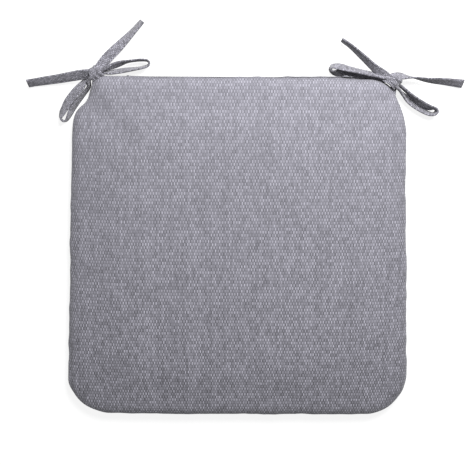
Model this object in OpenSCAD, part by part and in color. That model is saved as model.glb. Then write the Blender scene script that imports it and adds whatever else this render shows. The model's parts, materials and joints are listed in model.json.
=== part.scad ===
// Chair seat pad: foam slab in a sewn liner, inside a woven cover with a zip and two pairs of ties.
// +X is the sitter's left-to-right width, +Y is the rear edge with the zip and the ties, +Z is up.
// The origin is the middle of the underside, which rests on the chair seat at Z = 0.

/* [Pad] */
// Width across the front edge
front_w = 410; // [395:1:425]
// Width across the rear edge
rear_w = 370; // [355:1:385]
// Depth from the front edge to the rear edge
depth = 400; // [380:1:420]
// Height of the whole pad
pad_h = 28; // [26:1:34]
// How far the rounded side runs in from the edge to the flat top
edge_roll = 13; // [10:1:18]

/* [Corners] */
// Radius of the two rear corners
rear_r = 60; // [50:1:70]
// Radius of the two front corners
front_r = 50; // [40:1:65]

/* [Layers] */
// Thickness of the woven cover
cover_t = 1; // [0.6:0.1:1.4]
// Thickness of the liner around the foam
liner_t = 0.4; // [0.3:0.1:0.6]
// How much smaller the lined foam is than the cover, on each side
inner_pad_inset = 6; // [5:0.5:9]

/* [Zip] */
// Height of each of the two coils
coil_h = 1.7; // [1.4:0.1:1.9]
// Length of the slider
slider_len = 9; // [7:0.5:11]

/* [Ties] */
// Width of a flat tie
tie_w = 12; // [10:0.5:12]
// Thickness of a flat tie
tie_t = 2; // [1.4:0.1:2]

/* [Hidden] */

cloth = [0.60, 0.59, 0.63];
lining = [0.90, 0.90, 0.88];
foam = [0.93, 0.88, 0.72];
thread = [0.50, 0.50, 0.54];
coil_grey = [0.42, 0.42, 0.45];
metal = [0.55, 0.55, 0.57];

// The outline is a trapezoid with round corners. Each outline point is [arc centre x, y, radius, angle].
arc_steps = 8;
mid_z = pad_h / 2;
rear_y = depth / 2;
taper = (front_w - rear_w) / (2 * depth);
slant = atan(taper);
function side_x(y) = (front_w + rear_w) / 4 - taper * y;
rear_cx = side_x(rear_y - rear_r) - rear_r / cos(slant);
front_cx = side_x(front_r - rear_y) - front_r / cos(slant);
zip_half = floor(rear_cx - 2);
slot_half = zip_half + 1;

function arc(cx, cy, r, from, to) = [
    for (k = [0 : arc_steps]) [cx, cy, r, from + (to - from) * k / arc_steps]
];
rear_straight = [
    for (x = [slot_half, zip_half / 2, 0, -zip_half / 2, -slot_half]) [x, rear_y - rear_r, rear_r, 90]
];
outline = concat(
    arc(front_cx, front_r - rear_y, front_r, -90, slant),
    arc(rear_cx, rear_y - rear_r, rear_r, slant, 90),
    rear_straight,
    arc(-rear_cx, rear_y - rear_r, rear_r, 90, 180 - slant),
    arc(-front_cx, front_r - rear_y, front_r, 180 - slant, 270)
);
function outline_xy(inset) = [
    for (p = outline) [p[0] + (p[2] - inset) * cos(p[3]), p[1] + (p[2] - inset) * sin(p[3])]
];

// The side is a quarter ellipse above and below the middle: how far it lies in at a share of the height.
levels = [0, 0.35, 0.62, 0.82, 0.94, 1];
function roll_inset(share) = edge_roll * (1 - sqrt(1 - share * share));

// Gap from the middle to the rim of a panel: a thin seam, and a slot where the zip is.
seam_gap = 0.3;
coil_gap = 0.4;
zip_clear = 0.3;
slot_gap = coil_gap + coil_h + zip_clear;
function rim(p) = p[3] == 90 && abs(p[0]) <= slot_half ? slot_gap : seam_gap;

function level_ring(inset, height, share, open_rim) = [
    for (p = outline)
        let (dz = share == 0 && open_rim ? rim(p) : share * height)
        let (in = inset + roll_inset(abs(dz) / height))
        [p[0] + (p[2] - in) * cos(p[3]), p[1] + (p[2] - in) * sin(p[3]), mid_z + dz]
];

// Closed solid through a stack of rings, each with the same number of points.
module loft(rings) {
    n = len(rings[0]);
    last = len(rings) - 1;
    points = [for (ring = rings) each ring];
    sides = [
        for (k = [0 : last - 1]) for (i = [0 : n - 1])
            let (j = (i + 1) % n)
            let (low = k * n, high = (k + 1) * n)
            each [[low + i, high + i, high + j], [low + i, high + j, low + j]]
    ];
    caps = [
        [for (i = [0 : n - 1]) i],
        [for (i = [n - 1 : -1 : 0]) last * n + i]
    ];
    polyhedron(points, concat(sides, caps));
}

// Upper half of a sewn case: inner skin from the top down to the rim, then the outer skin up again.
module half_case(inset, height, wall) {
    inner = [for (k = [len(levels) - 1 : -1 : 0]) level_ring(inset + wall, height - wall, levels[k], true)];
    outer = [for (share = levels) level_ring(inset, height, share, true)];
    loft(concat(inner, outer));
}

module below_middle() {
    translate([0, 0, pad_h]) mirror([0, 0, 1]) children();
}

layer_gap = 0.2;
liner_h = mid_z - cover_t - layer_gap;
foam_h = liner_h - liner_t - layer_gap;
foam_inset = inner_pad_inset + liner_t + layer_gap;

module foam_core() {
    shares = concat([for (k = [len(levels) - 1 : -1 : 1]) -levels[k]], levels);
    color(foam) loft([for (share = shares) level_ring(foam_inset, foam_h, share, false)]);
}

module liner_top() {
    color(lining) half_case(inner_pad_inset, liner_h, liner_t);
}

module liner_bottom() {
    color(lining) below_middle() half_case(inner_pad_inset, liner_h, liner_t);
}

// Thread that runs all round at the middle height, between two panels.
module round_thread(inset, width, height) {
    translate([0, 0, mid_z - height / 2]) linear_extrude(height) difference() {
        polygon(outline_xy(inset));
        polygon(outline_xy(inset + width));
    }
}

seam_thread_h = 0.4;
liner_thread_inset = 0.05;
cover_thread_inset = 0.2;

module liner_seam_thread() {
    color(lining)
        round_thread(inner_pad_inset + liner_thread_inset, liner_t - 2 * liner_thread_inset, seam_thread_h);
}

module cover_top_panel() {
    color(cloth) half_case(0, mid_z, cover_t);
}

module cover_bottom_panel() {
    color(cloth) below_middle() half_case(0, mid_z, cover_t);
}

// The cover's thread leaves the zip and the sewn-in ties clear.
module cover_seam_thread() {
    opening = [2 * slot_half + 3, 10, pad_h];
    color(thread) difference() {
        round_thread(cover_thread_inset, cover_t - 2 * cover_thread_inset, seam_thread_h);
        translate([-opening[0] / 2, rear_y - opening[1] / 2, 0]) cube(opening);
        tie_clearance(left_knot, left_a_route);
        tie_clearance(right_knot, right_a_route);
    }
}

module tie_clearance(knot, route) {
    translate([knot[0] + route[0][0], knot[1] + route[0][1], 0]) cylinder(h = pad_h, r = tie_w / 2 + 3);
}

// Zip: tapes lie behind the cover, coils stand in the slot, and the slider straddles them.
tape_t = 0.5;
tape_top = 10.2;
tape_gap = 0.45;
tape_foot = coil_gap + 0.5;
coil_front = rear_y + 0.2;
stop_len = 2;
stop_t = 1;
stop_gap = 0.02;

// Outer face of the tapes, which follow the cover's inner skin.
function tape_y(dz) = rear_y - cover_t - tape_gap - roll_inset(dz / (mid_z - cover_t));
coil_back = tape_y(tape_foot);

module tape() {
    heights = [tape_foot, 3, 5, 7, 9, tape_top];
    outer = [for (dz = heights) [tape_y(dz), mid_z + dz]];
    inner = [for (k = [len(heights) - 1 : -1 : 0]) [tape_y(heights[k]) - tape_t, mid_z + heights[k]]];
    along_x(zip_half) polygon(concat(outer, inner));
}

// Extrudes a [y, z] profile along X, the same length to each side of the middle.
module along_x(half) {
    translate([-half, 0, 0]) rotate([90, 0, 90]) linear_extrude(2 * half) children();
}

module coil() {
    along_x(zip_half) translate([coil_back, mid_z + coil_gap]) square([coil_front - coil_back, coil_h]);
}

module zip_tape_upper() {
    color(coil_grey) tape();
}

module zip_tape_lower() {
    color(coil_grey) below_middle() tape();
}

module zip_coil_upper() {
    color(coil_grey) coil();
}

module zip_coil_lower() {
    color(coil_grey) below_middle() coil();
}

module stop_block(x, z, height) {
    translate([x, coil_front + stop_gap, z]) cube([stop_len, stop_t, height]);
}

module zip_top_stops() {
    color(metal) for (z = [mid_z + coil_gap, mid_z - coil_gap - coil_h])
        stop_block(zip_half - stop_len, z, coil_h);
}

module zip_bottom_stop() {
    stop_h = 2 * (coil_gap + coil_h);
    color(metal) stop_block(-zip_half, mid_z - stop_h / 2, stop_h);
}

slider_plate = 1;
slider_h = 7;
slider_y = coil_front + zip_clear;
slider_x = zip_half - stop_len - 0.5 - slider_len / 2;
neck_h = coil_gap;
back_plate_y = tape_y(slider_h / 2) - tape_t - zip_clear - slider_plate;

// One side plate of the slider: wide at the leading end, which faces the top stops, and narrower behind.
module slider_outline() {
    narrow = slider_h * 0.72;
    polygon([
        [-slider_len / 2, -narrow / 2], [slider_len / 2, -slider_h / 2],
        [slider_len / 2, slider_h / 2], [-slider_len / 2, narrow / 2]
    ]);
}

module slider_plate_at(y) {
    translate([slider_x, y + slider_plate, mid_z]) rotate([90, 0, 0])
        linear_extrude(slider_plate) slider_outline();
}

module zip_slider() {
    neck_len = slider_len * 0.4;
    crown = [slider_len * 0.5, 0.7, slider_h * 0.3];
    color(metal) union() {
        slider_plate_at(slider_y);
        slider_plate_at(back_plate_y);
        translate([slider_x + slider_len / 2 - neck_len, back_plate_y, mid_z - neck_h / 2])
            cube([neck_len, slider_y + slider_plate - back_plate_y, neck_h]);
        translate([slider_x - crown[0] / 2, slider_y, mid_z - crown[2] / 2])
            cube([crown[0], slider_plate + crown[1], crown[2]]);
    }
}

// Row of topstitching that holds the turned edge of a panel down on its tape.
stitch_row = 5.6;
stitch_size = [0.35, 0.6];

module stitch_strip() {
    along_x(zip_half) translate([rear_y - 1, mid_z + stitch_row]) square(stitch_size);
}

module zip_stitching_upper() {
    color(thread) stitch_strip();
}

module zip_stitching_lower() {
    color(thread) below_middle() stitch_strip();
}

// Ties. A route point is [x, y, z, lean, width share]: x and y are from the knot, lean is how far the
// tie's width turns from upright towards the left of its way, and the share narrows it inside the knot.
left_knot = [-rear_w / 2 + 25, rear_y + 3];
right_knot = [rear_w / 2 - 14, rear_y - 4];
root_a_z = mid_z + 1.2;
root_b_z = mid_z - 1.2;

left_a_route = [
    [4.5, -15, root_a_z, 90, 1], [2, -11, root_a_z, 90, 1], [1.5, -6.5, 13.5, 60, 0.65],
    [1, -3, 10.5, 20, 0.5], [3, 0, 9, 0, 0.5], [8, 0.2, 9.5, -5, 0.65], [16, 0.9, 9.3, -18, 0.85],
    [25.5, 2.4, 9, -22, 0.95], [37, 4.1, 9, -16, 1], [47, 5.6, 9, -9, 1], [53.5, 7, 9, -8, 1],
    [58.2, 8.8, 9, -8, 1], [59.6, 11.5, 9, -8, 1], [57.4, 14.2, 9, -8, 1], [51, 14.8, 9, -8, 1],
    [43, 14.2, 9, -9, 1], [34, 12.8, 9.5, -13, 1], [26, 10.5, 10.5, -26, 0.95], [17.5, 7.4, 12, -32, 0.8],
    [9, 4, 15.5, -12, 0.6], [2, 2.5, 18.5, -50, 0.5], [-6, 0.5, 17.5, -70, 0.8],
    [-16, -1.5, 13.3, -67, 1], [-28, -3.7, 10.2, -63, 1], [-42, -6.2, 8.6, -57, 1],
    [-59, -8.8, 7.5, -50, 1], [-77, -11.6, 7, -42, 1]
];
left_b_route = [
    [4.5, -15, root_b_z, 90, 1], [2, -11, root_b_z, 90, 1], [-0.5, -7, 10.5, 60, 0.6],
    [-3, -3.5, 9.5, 20, 0.5], [-6.5, -2.5, 9, 10, 0.5], [-10.5, -6.3, 9.8, 25, 0.72],
    [-16.2, -13.9, 10.9, 50, 0.95], [-23.5, -21.6, 11.2, 58, 1], [-31.5, -31.5, 10.8, 56, 1],
    [-36.3, -39.3, 10.2, 44, 1], [-39.8, -45, 9.2, 34, 1], [-41.6, -49.6, 8.2, 13, 1],
    [-38, -53.5, 7.4, 4, 1], [-33.9, -51, 7, 7, 1], [-28.4, -40.6, 6.5, 21, 1], [-21, -30.5, 6.3, 20, 1],
    [-14.6, -22.5, 6.5, 16, 0.95], [-9, -15.4, 7.9, 12, 0.75], [-7, -8.5, 14.6, 2, 0.6],
    [-2.5, -3.5, 18.5, 35, 0.5], [2, 2, 19, 70, 0.7], [7.5, 8.5, 17, 88, 1], [14.5, 17.5, 15, 95, 1],
    [24, 27, 13, 108, 1], [33.5, 36.5, 11, 128, 1], [43.5, 47, 9.5, 145, 1], [52.5, 57, 8.5, 155, 1]
];
right_a_route = [
    [-5, -15.5, root_a_z, 90, 1], [-2, -12, root_a_z, 90, 1], [0.5, -7.5, 13.5, 60, 0.65],
    [0, -3.5, 10.5, 20, 0.5], [-3, -0.5, 9, 0, 0.5], [-10, 0.8, 9, -14, 0.65], [-20, 2.7, 7.4, -26, 0.85],
    [-29, 3.8, 5.9, -34, 0.9], [-38, 5, 5.5, -40, 1], [-48, 6.5, 5.4, -44, 1], [-59, 8.6, 5.4, -44, 1],
    [-66, 10.1, 6.3, -20, 1], [-69.2, 13, 7.6, 0, 1], [-67, 16.4, 9, -16, 1], [-59, 15.6, 10.5, -33, 1],
    [-48, 12.9, 10.5, -27, 1], [-38, 10.7, 10.7, -23, 1], [-29, 8.8, 11.1, -22, 0.95],
    [-20, 7, 13.5, -25, 0.7], [-12, 5, 17, -40, 0.5], [-5, 4.5, 18.5, -60, 0.6], [2, 6, 17, -42, 0.85],
    [9.5, 6, 14.5, -32, 1], [17.5, 5, 12.5, -10, 1], [28, 3.5, 11, 8, 1], [40.5, 1.5, 9.5, 22, 1],
    [58, 0, 8, 38, 1], [79.5, -2.5, 7, 50, 1]
];
right_b_route = [
    [-5, -15.5, root_b_z, 90, 1], [-2, -12, root_b_z, 90, 0.95], [2, -8, 10.5, 60, 0.5],
    [4.5, -4.5, 9.5, 20, 0.5], [8.5, -5, 9.5, 8, 0.6], [15, -9.9, 10.6, 10, 0.8],
    [20.7, -15, 11.2, 15, 0.95], [26.3, -19.6, 11.2, 24, 1], [32, -23.8, 10.7, 31, 1],
    [38.3, -27.3, 10.4, 30, 1], [44.2, -29.5, 9.7, 25, 1], [49.4, -30.4, 8.8, 10, 1],
    [51.5, -33.4, 8, 5, 1], [49, -36.4, 7.3, 6, 1], [43.6, -35.9, 6.7, 18, 1], [37.5, -33.2, 6.3, 25, 1],
    [31, -29.6, 6.2, 29, 1], [25.2, -25.4, 6, 35, 1], [19.7, -21, 6.1, 35, 1],
    [14.7, -16.9, 7.4, 28, 0.9], [10.5, -13, 11.2, 14, 0.75], [6.5, -8.5, 15, 12, 0.55],
    [1.5, -3.5, 18.5, 50, 0.5], [-5, 1.5, 19, 85, 0.75], [-11.5, 7, 17, 118, 1],
    [-21.5, 14.5, 15, 139, 1], [-35, 26.7, 12.6, 154, 1], [-47, 37, 10.5, 163, 1], [-58, 45, 8.5, 170, 1]
];

// Smooth curve through the route's points, with the lean and the width carried along.
route_steps = 3;
function bend(a, b, c, d, t) =
    (2 * b + (c - a) * t + (2 * a - 5 * b + 4 * c - d) * t * t + (3 * b - a - 3 * c + d) * t * t * t) / 2;
function smooth_route(pts) = let (last = len(pts) - 1) concat(
    [for (i = [0 : last - 1]) for (k = [0 : route_steps - 1])
        bend(pts[max(i - 1, 0)], pts[i], pts[i + 1], pts[min(i + 2, last)], k / route_steps)],
    [pts[last]]
);
function place(p) = [p[0], p[1], p[2]];
function unit(v) = v / norm(v);

// The four corners of a flat tie at one point of its way.
function tie_ring(p, way) =
    let (along = unit(way))
    let (left = unit([-along[1], along[0], 0]))
    let (up = cross(along, left))
    let (across = cos(p[3]) * up + sin(p[3]) * left)
    let (face = cross(along, across))
    let (w = across * tie_w * p[4] / 2)
    let (t = face * tie_t / 2)
    [place(p) - w - t, place(p) + w - t, place(p) + w + t, place(p) - w + t];

module flat_tie(knot, route) {
    way = smooth_route(route);
    last = len(way) - 1;
    rings = [
        for (i = [0 : last])
            tie_ring(way[i], place(way[min(i + 1, last)]) - place(way[max(i - 1, 0)]))
    ];
    translate([knot[0], knot[1], 0]) loft(rings);
}

// The wrapped middle of a bow: a barrel with domed ends.
knot_r = 7;
knot_dome_r = 8.5;
knot_z = mid_z - 0.5;

module knot_wrap(knot) {
    translate([knot[0], knot[1], knot_z]) intersection() {
        sphere(knot_dome_r, $fn = 48);
        cylinder(h = 3 * knot_dome_r, r = knot_r, center = true, $fn = 48);
    }
}

// Dense stitching across the sewn-in ends of two stacked ties, above and below them.
bartack_gap = 0.2;
bartack_in = 0.3;

module bartacks(knot, route, turn) {
    bar = [tie_w - 2, 1.5, 0.3];
    above = root_a_z + tie_t / 2 + bartack_gap;
    below = root_b_z - tie_t / 2 - bartack_gap - bar[2];
    for (z = [above, below])
        translate([knot[0] + route[0][0], knot[1] + route[0][1], z]) rotate([0, 0, turn])
            translate([-bar[0] / 2, bartack_in, 0]) cube(bar);
}

module tie_left_strap_a() {
    color(cloth) flat_tie(left_knot, left_a_route);
}

module tie_left_strap_b() {
    color(cloth) flat_tie(left_knot, left_b_route);
}

module tie_left_knot() {
    color(cloth) knot_wrap(left_knot);
}

module tie_left_bartacks() {
    color(thread) bartacks(left_knot, left_a_route, 30);
}

module tie_right_strap_a() {
    color(cloth) flat_tie(right_knot, right_a_route);
}

module tie_right_strap_b() {
    color(cloth) flat_tie(right_knot, right_b_route);
}

module tie_right_knot() {
    color(cloth) knot_wrap(right_knot);
}

module tie_right_bartacks() {
    color(thread) bartacks(right_knot, right_a_route, -43);
}

foam_core();
liner_top();
liner_bottom();
liner_seam_thread();
cover_top_panel();
cover_bottom_panel();
cover_seam_thread();
zip_tape_upper();
zip_tape_lower();
zip_coil_upper();
zip_coil_lower();
zip_top_stops();
zip_bottom_stop();
zip_slider();
zip_stitching_upper();
zip_stitching_lower();
tie_left_strap_a();
tie_left_strap_b();
tie_left_knot();
tie_left_bartacks();
tie_right_strap_a();
tie_right_strap_b();
tie_right_knot();
tie_right_bartacks();
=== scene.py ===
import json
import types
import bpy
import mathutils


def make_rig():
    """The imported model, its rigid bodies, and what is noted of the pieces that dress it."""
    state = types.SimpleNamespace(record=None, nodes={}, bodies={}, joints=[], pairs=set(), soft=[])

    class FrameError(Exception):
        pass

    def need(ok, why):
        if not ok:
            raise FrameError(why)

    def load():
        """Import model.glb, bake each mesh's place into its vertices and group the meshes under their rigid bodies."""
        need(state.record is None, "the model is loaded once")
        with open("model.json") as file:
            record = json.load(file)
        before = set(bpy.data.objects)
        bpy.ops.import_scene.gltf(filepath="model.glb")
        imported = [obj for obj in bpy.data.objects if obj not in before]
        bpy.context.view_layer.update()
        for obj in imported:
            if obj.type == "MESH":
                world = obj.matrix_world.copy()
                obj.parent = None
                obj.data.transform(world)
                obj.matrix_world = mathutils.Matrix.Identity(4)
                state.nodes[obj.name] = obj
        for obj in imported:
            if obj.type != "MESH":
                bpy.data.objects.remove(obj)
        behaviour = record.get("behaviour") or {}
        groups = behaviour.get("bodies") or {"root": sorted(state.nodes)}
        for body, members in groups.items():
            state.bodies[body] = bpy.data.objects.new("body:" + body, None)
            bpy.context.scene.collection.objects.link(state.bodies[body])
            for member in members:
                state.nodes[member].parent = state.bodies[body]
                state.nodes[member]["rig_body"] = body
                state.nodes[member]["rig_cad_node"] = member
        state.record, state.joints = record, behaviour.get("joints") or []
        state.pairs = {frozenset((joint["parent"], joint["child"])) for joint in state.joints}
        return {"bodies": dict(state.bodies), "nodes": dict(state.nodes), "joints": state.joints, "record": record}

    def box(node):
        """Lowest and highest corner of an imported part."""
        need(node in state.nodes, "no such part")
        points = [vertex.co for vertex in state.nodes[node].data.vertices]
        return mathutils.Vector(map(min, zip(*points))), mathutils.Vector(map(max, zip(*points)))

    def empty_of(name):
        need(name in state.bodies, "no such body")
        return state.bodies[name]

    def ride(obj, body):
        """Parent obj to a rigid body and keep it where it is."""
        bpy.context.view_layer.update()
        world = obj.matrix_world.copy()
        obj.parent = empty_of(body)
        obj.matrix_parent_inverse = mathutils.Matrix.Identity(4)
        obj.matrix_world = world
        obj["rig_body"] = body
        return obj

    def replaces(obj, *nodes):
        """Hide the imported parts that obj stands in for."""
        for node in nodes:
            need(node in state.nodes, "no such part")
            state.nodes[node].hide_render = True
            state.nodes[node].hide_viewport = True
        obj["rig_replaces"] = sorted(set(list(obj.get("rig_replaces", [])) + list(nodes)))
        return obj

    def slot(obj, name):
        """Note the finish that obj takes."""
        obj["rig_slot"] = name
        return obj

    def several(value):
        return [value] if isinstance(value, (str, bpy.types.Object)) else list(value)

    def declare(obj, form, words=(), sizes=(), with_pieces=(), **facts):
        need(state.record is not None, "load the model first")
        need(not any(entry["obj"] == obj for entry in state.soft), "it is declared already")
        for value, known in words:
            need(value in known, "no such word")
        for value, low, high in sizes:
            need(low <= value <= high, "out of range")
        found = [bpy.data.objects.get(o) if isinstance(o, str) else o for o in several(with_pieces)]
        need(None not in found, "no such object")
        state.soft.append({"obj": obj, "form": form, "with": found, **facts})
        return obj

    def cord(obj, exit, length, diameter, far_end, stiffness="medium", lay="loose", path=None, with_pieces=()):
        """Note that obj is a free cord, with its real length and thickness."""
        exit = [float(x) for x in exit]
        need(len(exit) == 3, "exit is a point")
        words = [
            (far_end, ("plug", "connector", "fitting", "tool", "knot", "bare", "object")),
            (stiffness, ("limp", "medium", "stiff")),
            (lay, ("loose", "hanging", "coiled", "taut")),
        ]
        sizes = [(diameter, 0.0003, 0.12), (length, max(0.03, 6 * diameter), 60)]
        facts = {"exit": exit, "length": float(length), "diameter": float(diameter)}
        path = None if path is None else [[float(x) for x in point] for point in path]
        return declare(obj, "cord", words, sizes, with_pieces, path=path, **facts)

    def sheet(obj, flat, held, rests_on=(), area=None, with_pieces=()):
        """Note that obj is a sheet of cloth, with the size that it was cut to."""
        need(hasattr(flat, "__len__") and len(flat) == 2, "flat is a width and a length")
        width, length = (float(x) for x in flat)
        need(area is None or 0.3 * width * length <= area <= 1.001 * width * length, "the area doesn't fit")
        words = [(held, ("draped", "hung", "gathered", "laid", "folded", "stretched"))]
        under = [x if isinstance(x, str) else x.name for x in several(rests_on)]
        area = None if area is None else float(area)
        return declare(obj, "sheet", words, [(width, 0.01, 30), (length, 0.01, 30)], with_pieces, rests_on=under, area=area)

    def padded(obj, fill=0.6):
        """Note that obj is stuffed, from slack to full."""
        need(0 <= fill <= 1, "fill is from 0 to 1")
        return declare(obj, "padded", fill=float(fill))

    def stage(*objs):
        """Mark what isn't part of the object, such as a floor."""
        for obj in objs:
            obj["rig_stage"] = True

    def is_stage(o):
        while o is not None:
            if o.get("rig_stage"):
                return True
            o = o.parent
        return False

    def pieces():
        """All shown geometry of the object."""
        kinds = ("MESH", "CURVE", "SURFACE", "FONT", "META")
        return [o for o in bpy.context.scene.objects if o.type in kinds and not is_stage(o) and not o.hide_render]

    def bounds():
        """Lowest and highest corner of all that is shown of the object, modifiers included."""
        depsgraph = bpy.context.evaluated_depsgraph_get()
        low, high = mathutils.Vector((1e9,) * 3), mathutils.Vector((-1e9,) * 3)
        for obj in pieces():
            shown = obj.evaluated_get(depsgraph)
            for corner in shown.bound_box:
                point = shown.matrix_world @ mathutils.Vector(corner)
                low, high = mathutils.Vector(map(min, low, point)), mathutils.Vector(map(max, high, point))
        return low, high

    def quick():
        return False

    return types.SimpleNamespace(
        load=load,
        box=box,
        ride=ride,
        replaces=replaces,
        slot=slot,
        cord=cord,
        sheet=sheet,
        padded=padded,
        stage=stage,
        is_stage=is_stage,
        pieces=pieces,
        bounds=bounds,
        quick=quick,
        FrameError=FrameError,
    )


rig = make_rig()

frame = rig.load()

import json
import math

import bmesh
import bpy
from mathutils import Matrix, Vector, noise
from mathutils.bvhtree import BVHTree

# Chair seat pad: a foam slab in a liner, inside a woven cover with a zip and two bows of sewn ties.
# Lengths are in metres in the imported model's frame: +X is the sitter's width, +Y is the rear edge with the
# zip and the ties, +Z is up, and the pad rests on Z = 0.

cad_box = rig.bounds()

MM = 0.001
PAD_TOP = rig.box("cover_top_panel")[1]
REAR_Y = PAD_TOP[1]
PAD_H = PAD_TOP[2]
MID_Z = PAD_H / 2
FRONT_W = 0.410
REAR_W = 0.370
EDGE_ROLL = 0.013
REAR_R = 0.060
FRONT_R = 0.050


# ---- small helpers

def smooth_step(x):
    """0 below 0, 1 above 1, and a smooth rise between."""
    x = min(max(x, 0.0), 1.0)
    return x * x * (3 - 2 * x)


def mix(a, b, share):
    return a + (b - a) * share


def bell(x, width):
    """1 at 0, and falling away on both sides."""
    return math.exp(-(x / width) ** 2)


def new_object(name, data):
    obj = bpy.data.objects.new(name, data)
    bpy.context.collection.objects.link(obj)
    return obj


def make_object(name, points, faces, cloth=()):
    """A smooth-shaded mesh object. cloth is each point's place in the flat cloth, for its weave."""
    mesh = bpy.data.meshes.new(name)
    mesh.from_pydata([tuple(p) for p in points], [], faces)
    if cloth:
        layer = mesh.attributes.new("cloth", "FLOAT_VECTOR", "POINT")
        layer.data.foreach_set("vector", [c for x, y in cloth for c in (x, y, 0.0)])
    mesh.validate()
    mesh.shade_smooth()
    return new_object(name, mesh)


def joined(parts):
    """Several (points, faces, cloth) shapes as one. cloth is empty where the finish doesn't read it."""
    points, faces, cloth = [], [], []
    for part_points, part_faces, part_cloth in parts:
        start = len(points)
        points += part_points
        faces += [tuple(start + i for i in face) for face in part_faces]
        cloth += part_cloth
    return points, faces, cloth


def modifier(obj, kind, **settings):
    added = obj.modifiers.new(kind.lower(), kind)
    for key, value in settings.items():
        setattr(added, key, value)
    return added


def finish_piece(obj, material, slot, node, body="root"):
    """The piece rides on its body, takes its material and slot, and stands for its CAD node."""
    obj.data.materials.append(material)
    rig.ride(obj, body)
    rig.slot(obj, slot)
    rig.replaces(obj, node)
    return obj


def catmull(a, b, c, d, t):
    """Smooth curve from b to c, as tuples of any length."""
    return tuple(
        (2 * q + (r - p) * t + (2 * p - 5 * q + 4 * r - s) * t * t + (3 * q - p - 3 * r + s) * t ** 3) / 2
        for p, q, r, s in zip(a, b, c, d)
    )


def smooth_route(route, steps):
    """The route with its corners rounded, and steps points for each of its own."""
    last = len(route) - 1
    way = []
    for i in range(last):
        around = (route[max(i - 1, 0)], route[i], route[i + 1], route[min(i + 2, last)])
        way += [catmull(*around, k / steps) for k in range(steps)]
    return way + [route[last]]


def ways_along(points, closed=False):
    """Unit direction at each point of a line."""
    n = len(points)
    found = []
    for i in range(n):
        before = points[i - 1] if closed or i else points[0]
        after = points[(i + 1) % n] if closed or i < n - 1 else points[n - 1]
        found.append((after - before).normalized())
    return found


def sleeve(count, n, closed=False):
    """Faces between count rings of n points each. Its two ends are capped, or joined where it is closed."""
    faces = []
    for i in range(count if closed else count - 1):
        low, high = i * n, (i + 1) % count * n
        for k in range(n):
            after = (k + 1) % n
            faces.append((low + k, low + after, high + after, high + k))
    if not closed:
        faces.append(tuple(range(n - 1, -1, -1)))
        faces.append(tuple((count - 1) * n + k for k in range(n)))
    return faces


def tube(points, radius, sides, closed=False):
    """A round tube along points, with a frame carried along so that it doesn't twist."""
    ways = ways_along(points, closed)
    side = ways[0].orthogonal().normalized()
    ring_points = []
    for point, way in zip(points, ways):
        side = (side - way * side.dot(way)).normalized()
        other = way.cross(side)
        for k in range(sides):
            turn = 2 * math.pi * k / sides
            ring_points.append(point + radius * (math.cos(turn) * side + math.sin(turn) * other))
    return ring_points, sleeve(len(points), sides, closed), []


# ---- camera, floor and light

def add_camera():
    """Looks down on the pad, leaning a little towards its rear edge."""
    target = Vector((-0.0068, 0.0204, 0.0))
    distance = 1.0
    view_width = 0.544
    lean = math.radians(12.0)
    heading = math.radians(91.3)
    roll = math.radians(0.28)
    data = bpy.data.cameras.new("camera")
    data.lens = data.sensor_width * distance / view_width
    camera = new_object("camera", data)
    tip = Matrix.Rotation(lean, 4, Vector((-math.sin(heading), math.cos(heading), 0.0)))
    spin = Matrix.Rotation(roll, 4, "Z")
    camera.matrix_world = Matrix.Translation(target) @ tip @ spin @ Matrix.Translation((0, 0, distance))
    bpy.context.scene.camera = camera


def add_key_light():
    """A large disk of light from the rear right and above."""
    data = bpy.data.lights.new("key", "AREA")
    data.shape = "DISK"
    data.size = 0.5
    data.energy = 28
    light = new_object("key", data)
    place, target = Vector((0.20, 0.63, 0.68)), Vector((0.0, 0.02, 0.0))
    turn = (target - place).to_track_quat("-Z", "Y").to_matrix().to_4x4()
    light.matrix_world = Matrix.Translation(place) @ turn


def add_floor_and_light():
    """A floor that stays near white, a soft white surround and the key light."""
    size = 5.0
    floor = make_object("floor", [(-size, -size, 0), (size, -size, 0), (size, size, 0), (-size, size, 0)],
                        [(0, 1, 2, 3)])
    floor.location.z = -0.0002
    shader = Shader("floor_paint", 0.9)
    shader.constant(Base_Color=(0.16, 0.16, 0.16, 1), Emission_Color=(1, 1, 1, 1), Emission_Strength=0.84)
    shader.constant(Specular_IOR_Level=0.1)
    floor.data.materials.append(shader.material)
    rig.stage(floor)

    world = bpy.data.worlds.new("soft_white")
    world.use_nodes = True
    background = world.node_tree.nodes["Background"]
    background.inputs["Color"].default_value = (0.98, 0.99, 1.0, 1)
    background.inputs["Strength"].default_value = 0.45
    bpy.context.scene.world = world
    add_key_light()
    bpy.context.scene.view_settings.view_transform = "Standard"


# ---- materials

# The cover's weft, its warp, and the colour of both together from afar.
CLOTH_WEFT = (0.084, 0.082, 0.096, 1)
CLOTH_WARP = (0.152, 0.149, 0.172, 1)
CLOTH_MEAN = (0.100, 0.098, 0.114, 1)


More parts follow.
